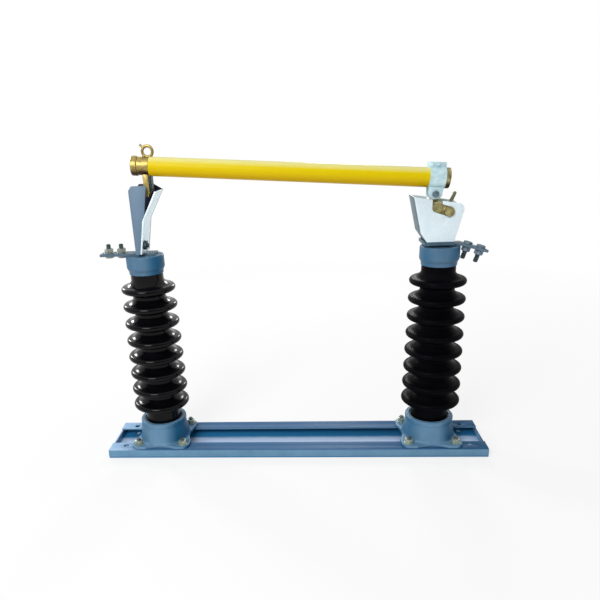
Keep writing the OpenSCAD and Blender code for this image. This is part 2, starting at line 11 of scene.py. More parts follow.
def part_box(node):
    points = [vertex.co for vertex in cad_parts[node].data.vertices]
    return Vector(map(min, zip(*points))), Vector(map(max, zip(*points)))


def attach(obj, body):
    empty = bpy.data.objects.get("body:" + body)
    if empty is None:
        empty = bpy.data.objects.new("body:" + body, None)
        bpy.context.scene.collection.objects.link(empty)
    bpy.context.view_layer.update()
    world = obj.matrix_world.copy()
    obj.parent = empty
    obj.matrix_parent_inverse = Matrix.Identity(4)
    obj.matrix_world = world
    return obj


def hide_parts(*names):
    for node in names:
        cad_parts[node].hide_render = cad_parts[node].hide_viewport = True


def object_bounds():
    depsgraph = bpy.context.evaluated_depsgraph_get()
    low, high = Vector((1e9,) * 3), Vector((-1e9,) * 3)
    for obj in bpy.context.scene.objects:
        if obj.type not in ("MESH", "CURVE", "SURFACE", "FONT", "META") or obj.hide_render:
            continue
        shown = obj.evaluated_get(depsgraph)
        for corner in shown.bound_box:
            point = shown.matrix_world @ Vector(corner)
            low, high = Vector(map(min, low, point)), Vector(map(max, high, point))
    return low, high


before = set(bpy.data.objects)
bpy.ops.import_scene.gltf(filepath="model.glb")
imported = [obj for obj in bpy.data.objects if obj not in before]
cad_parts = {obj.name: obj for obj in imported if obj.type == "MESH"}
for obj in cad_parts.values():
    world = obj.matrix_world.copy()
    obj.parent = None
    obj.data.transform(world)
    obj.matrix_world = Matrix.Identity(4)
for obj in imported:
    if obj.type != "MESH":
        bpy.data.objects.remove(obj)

bl_info = {
    "name": "Drop-out Fuse Finish",
    "version": (1, 0, 0),
    "blender": (4, 5, 0),
    "location": "View3D > Sidebar > Fuse",
    "description": "Finishes the pieces of a twin-post drop-out fuse",
    "category": "Object",
}

CAD_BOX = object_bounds()
MM = 0.001
STAND, LINK, TUBE = "stand", "link", "tube"

# Points within MERGE are one point, and a radius below ON_AXIS is on the axis
MERGE, ON_AXIS = 1e-6, 1e-7
# Steps round turned pieces, posts, nuts, washers and threads, and round a rounded corner
TURN_STEPS, POST_STEPS, HEX_STEPS, WASHER_STEPS, THREAD_STEPS, CORNER_STEPS = 96, 128, 72, 48, 24, 5
# A level just over the base's floor, and how far from its middle the painted shade of the lips
# begins
FLOOR_LEVEL, SHADE_FROM = 6 * MM, 27 * MM
# Height that the tube's winding goes round, near the middle of the tube, its radians for each
# metre along the tube, and its waves around the tube
WINDING_LEVEL, WINDING_ALONG, WINDING_AROUND = 0.72, 420.0, 3.0
# A nut's flat face and the start of its edge, as radii over its width across flats
FACE_SHARE, EDGE_SHARE = 0.475, 0.49
CHAMFER = math.tan(math.radians(30))
# The floor turns fully white from this distance on, over this length. Under the base it is
# dark, up to this margin inside the base's edge
WHITE_FROM, WHITE_OVER, BASE_MARGIN = 0.6, 2.0, 10 * MM
# Each lamp's name, place, share of the main power, and side
LAMPS = (("key_lamp", (-1.0, -2.0, 1.9), 1.0, 1.2),
         ("rim_lamp", (-1.8, 1.5, 1.2), 0.4, 0.45),
         ("edge_lamp", (0.3, 2.2, 1.3), 0.3, 0.45))


# ---- Places and colours ----

class Span:
    """The box of a CAD node: its low and high corners, its middle and its size."""

    def __init__(self, node):
        self.low, self.high = (Vector(corner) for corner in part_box(node))
        self.middle = (self.low + self.high) / 2
        self.size = self.high - self.low


def tint(code):
    """Linear colour of a six-figure hexadecimal sRGB code."""
    parts = ((code >> shift & 255) / 255 for shift in (16, 8, 0))
    return tuple(p / 12.92 if p < 0.04045 else ((p + 0.055) / 1.055) ** 2.4 for p in parts) + (1.0,)


# ---- Node trees written as expressions ----

def _operator(operation, reflected=False):
    """A method that adds one Math node for an arithmetic operator."""
    def apply(self, *others):
        values = (*others, self) if reflected else (self, *others)
        return self.graph.add("ShaderNodeMath", {"operation": operation}, dict(enumerate(values)))
    return apply


class Socket:
    """An output socket. An expression on it adds the Math nodes that work it out."""

    __add__, __radd__ = _operator("ADD"), _operator("ADD", True)
    __sub__, __rsub__ = _operator("SUBTRACT"), _operator("SUBTRACT", True)
    __mul__, __rmul__ = _operator("MULTIPLY"), _operator("MULTIPLY", True)
    __truediv__, __rtruediv__ = _operator("DIVIDE"), _operator("DIVIDE", True)
    __pow__, __mod__ = _operator("POWER"), _operator("FLOORED_MODULO")
    __lt__, __gt__ = _operator("LESS_THAN"), _operator("GREATER_THAN")
    floor, absolute, root = _operator("FLOOR"), _operator("ABSOLUTE"), _operator("SQRT")
    sin, cos, angle = _operator("SINE"), _operator("COSINE"), _operator("ARCTAN2")
    least, most = _operator("MINIMUM"), _operator("MAXIMUM")

    def __init__(self, graph, source):
        self.graph = graph
        self.source = source

    def clip(self):
        """This value kept between 0 and 1."""
        return self.most(0.0).least(1.0)

    def toward(self, other, share):
        """This value blended with another."""
        return self + (other - self) * share


class Graph:
    """A node tree that is built through one method."""

    def __init__(self, tree):
        self.tree = tree

    def add(self, kind, settings=None, sockets=None, output=0):
        """Adds a node: its settings first, then the values or links of its sockets."""
        node = self.tree.nodes.new(kind)
        for name, value in (settings or {}).items():
            if name == "stops":
                self._set_stops(node.color_ramp, value)
            else:
                setattr(node, name, value)
        for key, value in (sockets or {}).items():
            self.feed(node.inputs[key], value)
        return Socket(self, node.outputs[output])

    def feed(self, entry, value):
        """Links a socket to a node's input, or sets the input's own value."""
        if isinstance(value, Socket):
            self.tree.links.new(value.source, entry)
        else:
            entry.default_value = value

    @staticmethod
    def _set_stops(ramp, stops):
        while len(ramp.elements) < len(stops):
            ramp.elements.new(1.0)
        for element, (place, color) in zip(ramp.elements, stops):
            element.position = place
            element.color = color


# ---- Materials ----

class Finish(Graph):
    """A material under construction, with the patterns that several finishes share."""

    def __init__(self, name):
        self.material = bpy.data.materials.new(name)
        self.material.use_nodes = True
        super().__init__(self.material.node_tree)
        self.shader = self.tree.nodes["Principled BSDF"]
        self.place = self.add("ShaderNodeTexCoord", output="Object")

    def noise(self, scale, detail=3.0, roughness=0.5, place=None):
        """Soft noise from 0 to 1, with the number of blobs to the metre."""
        return self.add("ShaderNodeTexNoise", None, {
            "Vector": place or self.place, "Scale": scale, "Detail": detail,
            "Roughness": roughness})

    def cells(self, scale):
        """A colour of its own for each cell, with the number of cells to the metre."""
        return self.add("ShaderNodeTexVoronoi", None, {"Vector": self.place, "Scale": scale},
                        "Color")

    def stretched(self, scale):
        """The object's place, stretched along its axes."""
        return self.add("ShaderNodeMapping", None, {"Vector": self.place, "Scale": scale})

    def axis(self, letter):
        """The place along one axis of the piece."""
        return self.add("ShaderNodeSeparateXYZ", None, {"Vector": self.place}, letter)

    def facing(self, letter):
        """How far the surface faces along an axis of the piece, from -1 to 1."""
        normal = self.add("ShaderNodeTexCoord", output="Normal")
        return self.add("ShaderNodeSeparateXYZ", None, {"Vector": normal}, letter)

    def ramp(self, value, *stops):
        """A colour or grey for each value, blended between the stops."""
        points = [(place, color if isinstance(color, tuple) else (color, color, color, 1.0))
                  for place, color in stops]
        return self.add("ShaderNodeValToRGB", {"stops": points}, {"Fac": value})

    def blend(self, share, first, second):
        """Mixes two colours."""
        return self.add("ShaderNodeMix", {"data_type": "RGBA"},
                        {"Factor": share, 6: first, 7: second}, 2)

    def bump(self, height, distance, strength, below=None):
        """Relief from a height, over the relief below it."""
        sockets = {"Height": height, "Distance": distance, "Strength": strength}
        if below:
            sockets["Normal"] = below
        return self.add("ShaderNodeBump", None, sockets)

    def done(self, **values):
        """Sets the shader's sockets, whose names have spaces for underscores."""
        for name, value in values.items():
            self.feed(self.shader.inputs[name.replace("_", " ")], value)
        return self.material


def enamel(name, color, shade):
    """Satin enamel sprayed on steel."""
    finish = Finish(name)
    return finish.done(**enamel_look(finish, color, shade))


def enamel_look(finish, color, shade, gloss=0.3):
    """The shader's values for enamel: orange peel, faint mottling and dust on it."""
    mottle = finish.noise(24.0, 4.0, 0.55)
    cloud = finish.noise(5.5, 2.0)
    paint = finish.blend(finish.ramp(mottle, (0.3, 0.0), (0.75, 1.0)), shade, color)
    paint = finish.blend(finish.ramp(cloud, (0.4, 0.0), (0.65, 0.35)), paint, color)
    specks = finish.noise(900.0, 2.0)
    paint = finish.blend(finish.ramp(specks, (0.66, 0.0), (0.74, 0.25)), paint, tint(0xA9BCC9))
    peel = finish.noise(420.0, 2.0)
    lumps = finish.noise(70.0, 3.0)
    relief = finish.bump(lumps, 0.0006, 0.3, finish.bump(peel, 0.00012, 0.4))
    return {"Base_Color": paint, "Roughness": 0.36 + mottle * 0.16, "Normal": relief,
            "Specular_IOR_Level": gloss}


def casting_enamel(name, color, shade, deep):
    """Enamel of a casting, with painted shade: deep blue on its sides, most on its right side."""
    finish = Finish(name)
    look = enamel_look(finish, color, shade)
    # Painted shade: faces that look along X get the deep blue, the right ones most
    side = finish.facing("X") + finish.noise(20.0, 3.0) * 0.2 - 0.1
    kept = finish.ramp(side * 0.5 + 0.5, (0.08, 0.6), (0.3, 0.0), (0.6, 0.0), (0.84, 1.0))
    look["Base_Color"] = finish.blend(kept, look["Base_Color"], deep)
    return finish.done(**look)


def jaw_enamel(name, color, shade, inside, middle):
    """Enamel of the jaw, with painted shade: its faces between the plates are painted dark."""
    finish = Finish(name)
    look = enamel_look(finish, color, shade)
    # Painted shade on the faces that look in between the plates
    painted_inner_shade_share = (finish.axis("Y") - middle) * finish.facing("Y") < -2 * MM
    look["Base_Color"] = finish.blend(painted_inner_shade_share, look["Base_Color"], inside)
    return finish.done(**look)


def channel_enamel(name, color, shade, painted_floor_light, painted_lip_shade, level):
    """Enamel of the base: painted light and shade on its tops, painted light on its open floor, and
    painted shade under its lips.
    """
    finish = Finish(name)
    look = enamel_look(finish, color, shade, gloss=0.12)
    # Painted light and shade on the tops: light at the left end, dark along the rest and darkest at
    # the right end
    along = finish.axis("X") / CAD_BOX[1].x + finish.noise(14.0, 3.0) * 0.12 - 0.06
    painted_top_light_and_shade = finish.ramp(along * 0.5 + 0.5, (0.03, tint(0x9CC0E2)), (0.1, tint(0x466F98)),
                      (0.86, tint(0x3C6690)), (0.93, tint(0x1E537C)))
    top = finish.ramp(finish.facing("Z"), (0.5, 0.0), (0.9, 1.0))
    paint = finish.blend(top, look["Base_Color"], painted_top_light_and_shade)
    # Painted shade on the floor under the lips, and painted light on the floor between them
    aside = finish.axis("Y").absolute() + finish.noise(30.0, 3.0) * 0.006
    painted_lip_shade_share = finish.ramp((aside - SHADE_FROM) / 0.02 + 0.5, (0.2, 0.0), (0.8, 1.0))
    floor = finish.blend(painted_lip_shade_share, painted_floor_light, painted_lip_shade)
    look["Base_Color"] = finish.blend(finish.axis("Z") < level, paint, floor)
    return finish.done(**look)


def galvanised(name, color, shade, metal=0.15, painted_minus_x_shade=None):
    """Hot-dip zinc: flat spangles that differ a little in tone, and painted shade towards -X if
    asked.
    """
    finish = Finish(name)
    spangle = finish.cells(150.0)
    tone = finish.add("ShaderNodeSeparateColor", None, {"Color": spangle}, "Red")
    bloom = finish.noise(40.0, 4.0, 0.6)
    zinc = finish.blend(tone, shade, color)
    zinc = finish.blend(finish.ramp(bloom, (0.45, 0.0), (0.75, 0.5)), zinc, color)
    # Painted shade on the faces that look towards -X
    if painted_minus_x_shade:
        zinc = finish.blend(finish.facing("X") < -0.5, zinc, painted_minus_x_shade)
    scratch = finish.noise(60.0, 3.0, 0.6, finish.stretched((1.0, 1.0, 9.0)))
    relief = finish.bump(finish.noise(260.0, 3.0), 0.0002, 0.3,
                         finish.bump(scratch, 0.0002, 0.2))
    return finish.done(Base_Color=zinc, Metallic=metal, Normal=relief,
                       Roughness=0.36 + tone * 0.1 + bloom * 0.1)


def plated(name, color, shade, rough, metal):
    """Plated or blackened steel of a bolt, with faint turning marks and stains."""
    finish = Finish(name)
    stain = finish.noise(180.0, 4.0, 0.6)
    steel = finish.blend(finish.ramp(stain, (0.35, 0.0), (0.65, 1.0)), shade, color)
    relief = finish.bump(finish.noise(900.0, 2.0), 0.0001, 0.3)
    return finish.done(Base_Color=steel, Metallic=metal, Roughness=rough + stain * 0.18,
                       Normal=relief)


def glazed(name, color, deep, gloss, rough):
    """Brown glaze fired on porcelain: deep and glossy, with a little dust on it."""
    finish = Finish(name)
    pool = finish.noise(18.0, 3.0, 0.55)
    glaze = finish.blend(finish.ramp(pool, (0.35, 0.0), (0.7, 1.0)), deep, color)
    dust = finish.noise(260.0, 4.0, 0.65)
    ripple = finish.bump(finish.noise(55.0, 2.0), 0.0005, 0.2)
    return finish.done(Base_Color=glaze, Roughness=dust * 0.08 + rough, Normal=ripple,
                       Specular_IOR_Level=gloss)


def cement(name, color):
    """Coarse grey cement."""
    finish = Finish(name)
    grain = finish.noise(700.0, 5.0, 0.7)
    tone = finish.blend(finish.ramp(grain, (0.3, 0.0), (0.7, 1.0)), tint(0x5C6064), color)
    return finish.done(Base_Color=tone, Roughness=0.92, Normal=finish.bump(grain, 0.0006, 0.8))


def brass(name, color, dark, brown):
    """Cast brass that has begun to tarnish, with painted shade in brown on its undersides."""
    finish = Finish(name)
    tarnish = finish.noise(85.0, 5.0, 0.62)
    fine = finish.noise(600.0, 3.0)
    metal = finish.blend(finish.ramp(tarnish, (0.38, 0.0), (0.66, 1.0)), dark, color)
    # Painted shade: the faces that look down are brown
    under = finish.facing("Z") + finish.noise(140.0, 3.0) * 0.5
    metal = finish.blend(finish.ramp(under * 0.5 + 0.5, (0.3, 1.0), (0.55, 0.0)), metal, brown)
    relief = finish.bump(fine, 0.00015, 0.5, finish.bump(tarnish, 0.0004, 0.3))
    return finish.done(Base_Color=metal, Metallic=0.85, Roughness=0.3 + tarnish * 0.25,
                       Normal=relief)


def varnished_tube(name, color, deep, painted_top_highlight):
    """Yellow varnish over a wound glass-fibre tube: a faint crossed winding, painted light on top
    and painted shade underneath.
    """
    finish = Finish(name)
    along = finish.axis("X")
    around = finish.axis("Y").angle(finish.axis("Z") - WINDING_LEVEL)
    one_way = (along * WINDING_ALONG + around * WINDING_AROUND).sin()
    other_way = (along * WINDING_ALONG - around * WINDING_AROUND).sin()
    winding = (one_way * other_way) * 0.5 + 0.5
    streak = finish.noise(26.0, 4.0, 0.6, finish.stretched((1.0, 5.0, 5.0)))
    # Painted light and shade: the top of the tube is pale and its underside deep
    painted_light_and_shade = finish.ramp(finish.facing("Z") * 0.5 + 0.5, (0.15, deep), (0.7, color), (0.95, painted_top_highlight))
    varnish = finish.blend(finish.ramp(streak, (0.3, 0.12), (0.7, 0.0)), painted_light_and_shade, deep)
    varnish = finish.blend(winding * 0.05, varnish, deep)
    ripple = finish.bump(finish.noise(140.0, 2.0), 0.0001, 0.1)
    relief = finish.bump(winding, 0.0001, 0.15, ripple)
    return finish.done(Base_Color=varnish, Roughness=0.3 + streak * 0.15, Normal=relief,
                       Specular_IOR_Level=0.08, Coat_Weight=0.06, Coat_Roughness=0.25)


class Finishes:
    """The materials, made once and shared by the pieces."""

    def __init__(self, colors):
        jaw = Span("contact_bracket")
        # deep is painted shade on the sides of the castings
        deep, brown = tint(0x10587F), tint(0x4A3824)
        self.cup = casting_enamel("cup_enamel", tuple(colors.paint), tint(0x567F9E), deep)
        self.cap = casting_enamel("cap_enamel", tint(0x527691), tint(0x446885), deep)
        self.dark_paint = enamel("dark_enamel", tint(0x4A6878), tint(0x2F4C5C))
        self.bar = enamel("bar_enamel", tint(0x62798A), tint(0x465E6E))
        # The base's third colour is painted light on its floor, and its fourth painted shade under
        # its lips
        self.base = channel_enamel(
            "channel_enamel", tint(0x6F9AB9), tint(0x6089A6), tint(0xB5CCEB), tint(0x2C7BAD),
            Span("base_channel").low.z + FLOOR_LEVEL)
        # The jaw's third colour is painted shade between its plates
        self.jaw = jaw_enamel("jaw_enamel", tint(0x6A8298), tint(0x60788E), tint(0x0A1030),
                              jaw.middle.y)
        # The sheet's last colour is painted shade on its faces towards -X
        self.sheet = galvanised("galvanised_sheet", tuple(colors.zinc), tint(0xDCEEF6),
                                painted_minus_x_shade=tint(0x4E6872))
        self.web = galvanised("galvanised_web", tint(0xECFAFF), tint(0xE0F4FA), 0.6)
        self.collar = galvanised("galvanised_clamp", tint(0xCEEAF0), tint(0xBAD8E0), 0.3)
        self.pale_bolt, self.grey_nut, self.dull_nut, self.thread, self.dark_bolt, self.horn = (
            plated(name, tint(color), tint(shade), rough, metal)
            for name, color, shade, rough, metal in (
                ("yellow_passivated_steel", 0xB9C4B0, 0x88968A, 0.34, 0.6),
                ("grey_plated_steel", 0xB4B9AF, 0x8A938F, 0.36, 0.6),
                ("dull_plated_steel", 0x788A98, 0x566874, 0.38, 0.6),
                ("dark_thread", 0x647476, 0x445255, 0.4, 0.6),
                ("blackened_steel", 0x3B4B50, 0x232C33, 0.38, 0.7),
                ("bronzed_steel", 0x8F8E70, 0x66664C, 0.36, 0.7)))
        self.glaze = {
            side: glazed("brown_glaze_" + side, tuple(colors.glaze), tint(0x060508), gloss, rough)
            for side, gloss, rough in (("left", 0.14, 0.12), ("right", 0.02, 0.34))}
        self.cement = cement("joint_cement", tint(0x7C8084))
        # brown is painted shade on the undersides of the brass
        self.brass = brass("aged_brass", tuple(colors.brass), tint(0x94834C), brown)
        self.tarnished = brass("tarnished_brass", tint(0xC2B886), tint(0x857A50), brown)
        # The tube's deep colour is painted shade underneath and also its streaks; its last is
        # painted light on top
        self.tube = varnished_tube("yellow_varnish", tuple(colors.tube), tint(0xCFA800),
                                   tint(0xF8F4A4))


_finishes = {}


def finishes():
    """The one set of materials, made when it is first asked for."""
    if "set" not in _finishes:
        _finishes["set"] = Finishes(bpy.context.scene.fuse_colors)
    return _finishes["set"]


# ---- Meshes ----

def placed(name, data):
    """A new object in the scene."""
    thing = bpy.data.objects.new(name, data)
    bpy.context.scene.collection.objects.link(thing)
    return thing


def baked(work):
    """The evaluated mesh of a work object, which is then removed."""
    depsgraph = bpy.context.evaluated_depsgraph_get()
    mesh = bpy.data.meshes.new_from_object(work.evaluated_get(depsgraph), depsgraph=depsgraph)
    bpy.data.objects.remove(work)
    return mesh


def add_piece(name, mesh, material, body, slot, *nodes, smooth_below=35.0):
    """Adds a finished mesh as a piece that rides on a body and stands for CAD nodes."""
    if material:
        mesh.materials.clear()
        mesh.materials.append(material)
    mesh.shade_smooth()
    mesh.set_sharp_from_angle(angle=math.radians(smooth_below))
    piece = placed(name, mesh)
    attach(piece, body)
    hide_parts(*nodes)


def applied(mesh, name, *modifiers):
    """The mesh with modifiers applied, each given as its type and its settings."""
    work = placed(name, mesh)
    for kind, settings in modifiers:
        modifier = work.modifiers.new(kind.title(), kind)
        for key, value in settings.items():
            setattr(modifier, key, value)
    result = baked(work)
    result.name = name
    return result


def mesh_of(bm, name):
    """A mesh from a bmesh, with its normals outward."""
    bmesh.ops.recalc_face_normals(bm, faces=bm.faces)
    mesh = bpy.data.meshes.new(name)
    bm.to_mesh(mesh)
    bm.free()
    return mesh


def bevelled_copy(node, width):
    """A copy of a CAD node's mesh, merged and with rounded edges."""
    bm = bmesh.new()
    bm.from_mesh(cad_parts[node].data)
    bmesh.ops.remove_doubles(bm, verts=bm.verts, dist=MERGE)
    bmesh.ops.dissolve_limit(bm, angle_limit=math.radians(1.0), verts=bm.verts, edges=bm.edges)
    mesh = mesh_of(bm, node)
    return applied(mesh, node + "_finished", ("BEVEL", {
        "width": width, "segments": 2, "limit_method": "ANGLE",
        "angle_limit": math.radians(30), "use_clamp_overlap": True, "harden_normals": False,
        "miter_outer": "MITER_ARC"}), ("WEIGHTED_NORMAL", {"keep_sharp": True}))


def finish_nodes(body, *rows):
    """Replaces CAD nodes of one body with copies of themselves that have rounded edges.

    Each row is a node, its material, its slot (which is not used) and the width of its edges in
    millimetres.
    """
    for node, material, slot, width in rows:
        mesh = bevelled_copy(node, width * MM)
        add_piece(node + "_finished", mesh, material, body, slot, node, smooth_below=50.0)


def turned(outline, matrix):
    """A bmesh that turns an outline of (radius, height) points about local Z."""
    bm, rings = bmesh.new(), []
    for radius, height in outline:
        if radius < ON_AXIS:
            rings.append([bm.verts.new(matrix @ Vector((0, 0, height)))])
            continue
        ring = []
        for step in range(TURN_STEPS):
            turn = 2 * math.pi * step / TURN_STEPS
            ring.append(bm.verts.new(matrix @ Vector(
                (radius * math.cos(turn), radius * math.sin(turn), height))))
        rings.append(ring)
    for low, high in zip(rings, rings[1:]):
        for step in range(TURN_STEPS):
            after = (step + 1) % TURN_STEPS
            corners = [low[step % len(low)], low[after % len(low)],
                       high[after % len(high)], high[step % len(high)]]
            corners = list(dict.fromkeys(corners))
            if len(corners) > 2:
                bm.faces.new(corners)
    return bm


def rounded(points, radius):
    """An outline whose corners are rounded, apart from its two ends."""
    points = [Vector(p) for p in points]
    result = [points[0]]
    for before, corner, after in zip(points, points[1:], points[2:]):
        back, ahead = before - corner, after - corner
        reach = min(radius, back.length * 0.45, ahead.length * 0.45)
        start, end = corner + back.normalized() * reach, corner + ahead.normalized() * reach
        for step in range(CORNER_STEPS + 1):
            share = step / CORNER_STEPS
            result.append((start * (1 - share) + corner * share) * (1 - share)
                          + (corner * (1 - share) + end * share) * share)
    return result + [points[-1]]


class TubeAxis:
    """The tube's frame: local Z runs along its axis from the end cap, and local X points down."""

    def __init__(self):
        cap, end = Span("end_cap").middle, Span("lower_ferrule").middle
        axis = (end - cap).normalized()
        across = Vector((0.0, 1.0, 0.0))
        self.matrix = Matrix((across.cross(axis), across, axis)).transposed().to_4x4()
        self.matrix.translation = cap
        self.back = self.matrix.inverted()

    def ring(self, node):
        """Low and high end, inner and outer radius of a round CAD node on the axis."""
        points = [self.back @ vertex.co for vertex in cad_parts[node].data.vertices]
        levels = [point.z for point in points]
        radii = [point.xy.length for point in points]
        return min(levels), max(levels), min(radii), max(radii)


def turned_piece(name, outline, matrix, material, body, slot, *nodes):
    """A piece turned about local Z from an outline that closes on itself or on the axis."""
    bm = turned(outline, matrix)
    bmesh.ops.remove_doubles(bm, verts=bm.verts, dist=MERGE)
    add_piece(name, mesh_of(bm, name), material, body, slot, *nodes)


def sleeve(low, high, inner, outer, edge):
    """Outline of a tube with rounded edges, from the middle of its bore round to there again."""
    middle = (low + high) / 2
    return rounded([(inner, middle), (inner, low), (outer, low), (outer, high), (inner, high),
                    (inner, middle)], edge)


def cast_copy(node, voxel, smoothing):
    """A copy of a CAD node's mesh with soft fillets, kept inside the node's own box."""
    low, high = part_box(node)
    mesh = applied(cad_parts[node].data.copy(), node, (
        "REMESH", {"mode": "VOXEL", "voxel_size": voxel, "use_smooth_shade": True}), (
        "SMOOTH", {"factor": 0.5, "iterations": smoothing}))
    for vertex in mesh.vertices:
        for axis in range(3):
            vertex.co[axis] = min(max(vertex.co[axis], low[axis]), high[axis])
    return mesh


def cast_node(node, material, body, slot, voxel, smoothing):
    """Replaces a CAD node with a copy of itself that looks cast."""
    mesh = cast_copy(node, voxel, smoothing)
    add_piece(node + "_cast", mesh, material, body, slot, node, smooth_below=60.0)


# ---- Geometry Nodes ----

def geometry_tree(name, inputs, build):
    """A Geometry Nodes tree with named inputs, built by a function of its graph and inputs."""
    tree = bpy.data.node_groups.new(name, "GeometryNodeTree")
    tree.interface.new_socket("Geometry", in_out="INPUT", socket_type="NodeSocketGeometry")
    for label, kind in inputs.items():
        tree.interface.new_socket(label, in_out="INPUT", socket_type="NodeSocket" + kind)
    tree.interface.new_socket("Geometry", in_out="OUTPUT", socket_type="NodeSocketGeometry")
    graph = Graph(tree)
    entry = tree.nodes.new("NodeGroupInput")
    given = {socket.name: Socket(graph, socket) for socket in entry.outputs if socket.name}
    result = build(graph, given)
    leave = tree.nodes.new("NodeGroupOutput")
    graph.feed(leave.inputs["Geometry"], result)
    return tree


def grown(tree, name, values, points=((0.0, 0.0, 0.0),)):
    """Runs a geometry tree on loose points and returns the result as a plain mesh."""
    seed = bpy.data.meshes.new(name)
    seed.from_pydata([tuple(p) for p in points], [], [])
    work = placed(name, seed)
    modifier = work.modifiers.new("Grow", "NODES")
    modifier.node_group = tree
    for item in tree.interface.items_tree:
        if item.item_type == "SOCKET" and item.in_out == "INPUT" and item.name in values:
            modifier[item.identifier] = values[item.name]
    return baked(work)


def lathe_nodes(graph, heights, radii, count, round_steps):
    """Nodes for a closed turned solid, from a field of heights and one of radii by index."""
    line = graph.add("GeometryNodeCurvePrimitiveLine", None, {"End": (0.0, 0.0, 1.0)})
    line = graph.add("GeometryNodeResampleCurve", None, {"Curve": line, "Count": count})
    place = graph.add("ShaderNodeCombineXYZ", None, {"Z": heights})
    line = graph.add("GeometryNodeSetPosition", None, {"Geometry": line, "Position": place})
    ring = graph.add("GeometryNodeCurvePrimitiveCircle", None,
                     {"Resolution": round_steps, "Radius": 1.0})
    return graph.add("GeometryNodeCurveToMesh", None, {
        "Curve": line, "Profile Curve": ring, "Scale": radii, "Fill Caps": True})


def stations(graph, values):
    """A field that takes the given values at indices 0, 1, 2 and so on."""
    index = graph.add("GeometryNodeInputIndex")
    total = None
    for place, value in enumerate(values):
        here = 1.0 - (index - float(place)).absolute().least(1.0)
        total = here * value if total is None else total + here * value
    return total


def joined(graph, *parts):
    """Several geometries as one."""
    join = graph.add("GeometryNodeJoinGeometry")
    for part in parts:
        graph.feed(join.source.node.inputs["Geometry"], part)
    return join


def closing(graph, geometry, material):
    """The end of a branch: real meshes with their material."""
    geometry = graph.add("GeometryNodeRealizeInstances", None, {"Geometry": geometry})
    return graph.add("GeometryNodeSetMaterial", None, {"Geometry": geometry, "Material": material})


UNDER_STEPS, RIM_STEPS, OVER_STEPS = 12, 16, 14
SHED_STEPS = UNDER_STEPS + RIM_STEPS + OVER_STEPS


def build_porcelain(graph, given):
    """A post with sheds: each goes out along its underside, round its rim and back over its top."""
    index = graph.add("GeometryNodeInputIndex")
    sheds, rim = given["Sheds"], given["Rim Radius"]
    foot, top = given["Foot"], given["Top"]
    foot_r, top_r = given["Foot Core Radius"], given["Top Core Radius"]
    underside, topside = given["Underside"], given["Topside"]
    shed = ((index - 1.0) / SHED_STEPS).floor().most(0.0).least(sheds - 1.0)
    step = index - 1.0 - shed * SHED_STEPS
    level = given["First Shed"] + shed * given["Pitch"]
    reach = given["Lowest Shed Radius"].toward(given["Top Shed Radius"], shed / (sheds - 1.0)) - rim
    slope = (top_r - foot_r) / (top - foot)

    def core(height):
        return foot_r + (height - foot) * slope

    under_low = level - rim - underside
    over_high = level + rim + topside
    out = (step / UNDER_STEPS).clip()
    turn = ((step - UNDER_STEPS) / RIM_STEPS).clip() * math.pi - math.pi / 2
    back = 1.0 - ((step - UNDER_STEPS - RIM_STEPS) / (OVER_STEPS - 1.0)).clip()
    out_r = core(under_low).toward(reach, out)
    out_z = level - rim - underside * (1.0 - out) ** 2.5
    rim_r = reach + rim * turn.cos()
    rim_z = level + rim * turn.sin()
    back_r = core(over_high).toward(reach, back)
    back_z = level + rim + topside * (1.0 - back) ** 2.0
    on_under = step < UNDER_STEPS - 0.5
    on_rim = (step < UNDER_STEPS + RIM_STEPS - 0.5) - on_under
    on_over = 1.0 - on_under - on_rim
    radius = on_under * out_r + on_rim * rim_r + on_over * back_r
    height = on_under * out_z + on_rim * rim_z + on_over * back_z
    last = sheds * SHED_STEPS + 3.0
    radius = radius.toward(foot_r, index < 0.5)
    radius = radius.toward(top_r, index > last - 2.5)
    radius = radius.toward(given["Spigot Radius"], index > last - 1.5)
    height = height.toward(given["Low End"], index < 0.5)
    height = height.toward(top, index > last - 2.5)
    height = height.toward(given["High End"], index > last - 0.5)
    post = lathe_nodes(graph, height, radius, last + 1.0, given["Round Steps"])
    return closing(graph, post, given["Material"])


PORCELAIN_INPUTS = dict.fromkeys((
    "Pitch", "First Shed", "Rim Radius", "Lowest Shed Radius", "Top Shed Radius",
    "Foot Core Radius", "Top Core Radius", "Foot", "Top", "Underside", "Topside", "Low End",
    "High End", "Spigot Radius"), "Float")
PORCELAIN_INPUTS.update({"Sheds": "Int", "Round Steps": "Int", "Material": "Material"})


def hexagon_nodes(graph, flats, base, height):
    """A nut or head: a hexagon whose corners are cut back by a 30 degree chamfer."""
    inner = flats * FACE_SHARE
    outer = flats * 0.5
    body = lathe_nodes(graph, stations(graph, [base, base, base + height, base + height]),
                       stations(graph, [inner, outer, outer, inner]), 4, HEX_STEPS)
    place = graph.add("GeometryNodeInputPosition")
    x, y, z = (graph.add("ShaderNodeSeparateXYZ", None, {"Vector": place}, axis)
               for axis in "XYZ")
    radius = (x * x + y * y).root()
    side = math.pi / 3
    turn = y.angle(x) + 4 * math.pi + side / 2
    wide = outer / ((turn % side) - side / 2).cos()
    edge = radius > flats * EDGE_SHARE
    upper = z > base + height / 2
    cut = (wide - inner) * CHAMFER * edge
    level = z + cut * (1.0 - upper * 2.0)
    grow = 1.0 + edge * (wide / radius - 1.0)
    place = graph.add("ShaderNodeCombineXYZ", None, {"X": x * grow, "Y": y * grow, "Z": level})
    return graph.add("GeometryNodeSetPosition", None, {"Geometry": body, "Position": place})


